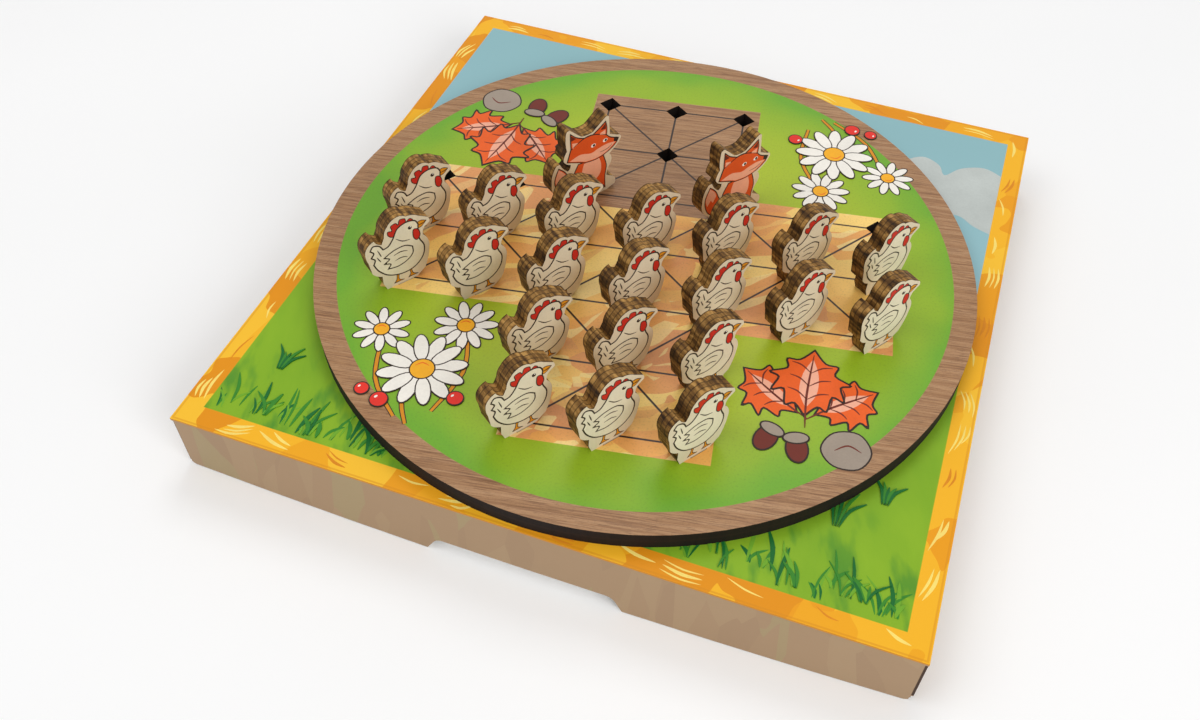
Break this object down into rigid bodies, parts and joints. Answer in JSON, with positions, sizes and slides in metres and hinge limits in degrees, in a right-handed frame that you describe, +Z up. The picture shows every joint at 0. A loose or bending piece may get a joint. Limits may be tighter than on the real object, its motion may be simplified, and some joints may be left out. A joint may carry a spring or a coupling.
{
  "type": "fox and geese board game",
  "caption": "Fox and geese game: a round wooden board with square holes, hens and foxes on pegs, and a flat carton box with a lift-off lid that it lies on.",
  "frame": {"origin": "centre of the box's underside, on the surface that it stands on", "axes": "+Z up, -Y towards the front wall of the box, +X to the right of someone facing that wall"},
  "size_m": [0.318, 0.3176, 0.0847],
  "materials": {
    "white_carton": "matte white carton",
    "printed_carton": "carton with a satin print",
    "printed_board": "satin print on board, edge burnt dark by the laser",
    "hen_plywood": "printed plywood, edge burnt brown by the laser",
    "fox_plywood": "printed plywood, edge burnt brown by the laser"
  },
  "bodies": {
    "tray": {"box_tray": "white_carton"},
    "lid": {"box_lid": "printed_carton"},
    "board": {"board": "printed_board"},
    "hen_01_piece": {"hen_01": "hen_plywood"},
    "hen_02_piece": {"hen_02": "hen_plywood"},
    "hen_03_piece": {"hen_03": "hen_plywood"},
    "hen_04_piece": {"hen_04": "hen_plywood"},
    "hen_05_piece": {"hen_05": "hen_plywood"},
    "hen_06_piece": {"hen_06": "hen_plywood"},
    "hen_07_piece": {"hen_07": "hen_plywood"},
    "hen_08_piece": {"hen_08": "hen_plywood"},
    "hen_09_piece": {"hen_09": "hen_plywood"},
    "hen_10_piece": {"hen_10": "hen_plywood"},
    "hen_11_piece": {"hen_11": "hen_plywood"},
    "hen_12_piece": {"hen_12": "hen_plywood"},
    "hen_13_piece": {"hen_13": "hen_plywood"},
    "hen_14_piece": {"hen_14": "hen_plywood"},
    "hen_15_piece": {"hen_15": "hen_plywood"},
    "hen_16_piece": {"hen_16": "hen_plywood"},
    "hen_17_piece": {"hen_17": "hen_plywood"},
    "hen_18_piece": {"hen_18": "hen_plywood"},
    "hen_19_piece": {"hen_19": "hen_plywood"},
    "hen_20_piece": {"hen_20": "hen_plywood"},
    "fox_left_piece": {"fox_left": "fox_plywood"},
    "fox_right_piece": {"fox_right": "fox_plywood"}
  },
  "joints": [
    {"name": "lid_lift", "type": "slide", "parent": "tray", "child": "lid", "axis": [0, 0, 1], "range_m": [0, 0.06]},
    {"name": "board_lift", "type": "slide", "parent": "lid", "child": "board", "axis": [0, 0, 1], "range_m": [0, 0.04]},
    {"name": "hen_01_lift", "type": "slide", "parent": "board", "child": "hen_01_piece", "axis": [0, 0, 1], "range_m": [0, 0.015]},
    {"name": "hen_02_lift", "type": "slide", "parent": "board", "child": "hen_02_piece", "axis": [0, 0, 1], "range_m": [0, 0.015]},
    {"name": "hen_03_lift", "type": "slide", "parent": "board", "child": "hen_03_piece", "axis": [0, 0, 1], "range_m": [0, 0.015]},
    {"name": "hen_04_lift", "type": "slide", "parent": "board", "child": "hen_04_piece", "axis": [0, 0, 1], "range_m": [0, 0.015]},
    {"name": "hen_05_lift", "type": "slide", "parent": "board", "child": "hen_05_piece", "axis": [0, 0, 1], "range_m": [0, 0.015]},
    {"name": "hen_06_lift", "type": "slide", "parent": "board", "child": "hen_06_piece", "axis": [0, 0, 1], "range_m": [0, 0.015]},
    {"name": "hen_07_lift", "type": "slide", "parent": "board", "child": "hen_07_piece", "axis": [0, 0, 1], "range_m": [0, 0.015]},
    {"name": "hen_08_lift", "type": "slide", "parent": "board", "child": "hen_08_piece", "axis": [0, 0, 1], "range_m": [0, 0.015]},
    {"name": "hen_09_lift", "type": "slide", "parent": "board", "child": "hen_09_piece", "axis": [0, 0, 1], "range_m": [0, 0.015]},
    {"name": "hen_10_lift", "type": "slide", "parent": "board", "child": "hen_10_piece", "axis": [0, 0, 1], "range_m": [0, 0.015]},
    {"name": "hen_11_lift", "type": "slide", "parent": "board", "child": "hen_11_piece", "axis": [0, 0, 1], "range_m": [0, 0.015]},
    {"name": "hen_12_lift", "type": "slide", "parent": "board", "child": "hen_12_piece", "axis": [0, 0, 1], "range_m": [0, 0.015]},
    {"name": "hen_13_lift", "type": "slide", "parent": "board", "child": "hen_13_piece", "axis": [0, 0, 1], "range_m": [0, 0.015]},
    {"name": "hen_14_lift", "type": "slide", "parent": "board", "child": "hen_14_piece", "axis": [0, 0, 1], "range_m": [0, 0.015]},
    {"name": "hen_15_lift", "type": "slide", "parent": "board", "child": "hen_15_piece", "axis": [0, 0, 1], "range_m": [0, 0.015]},
    {"name": "hen_16_lift", "type": "slide", "parent": "board", "child": "hen_16_piece", "axis": [0, 0, 1], "range_m": [0, 0.015]},
    {"name": "hen_17_lift", "type": "slide", "parent": "board", "child": "hen_17_piece", "axis": [0, 0, 1], "range_m": [0, 0.015]},
    {"name": "hen_18_lift", "type": "slide", "parent": "board", "child": "hen_18_piece", "axis": [0, 0, 1], "range_m": [0, 0.015]},
    {"name": "hen_19_lift", "type": "slide", "parent": "board", "child": "hen_19_piece", "axis": [0, 0, 1], "range_m": [0, 0.015]},
    {"name": "hen_20_lift", "type": "slide", "parent": "board", "child": "hen_20_piece", "axis": [0, 0, 1], "range_m": [0, 0.015]},
    {"name": "fox_left_lift", "type": "slide", "parent": "board", "child": "fox_left_piece", "axis": [0, 0, 1], "range_m": [0, 0.015]},
    {"name": "fox_right_lift", "type": "slide", "parent": "board", "child": "fox_right_piece", "axis": [0, 0, 1], "range_m": [0, 0.015]}
  ]
}
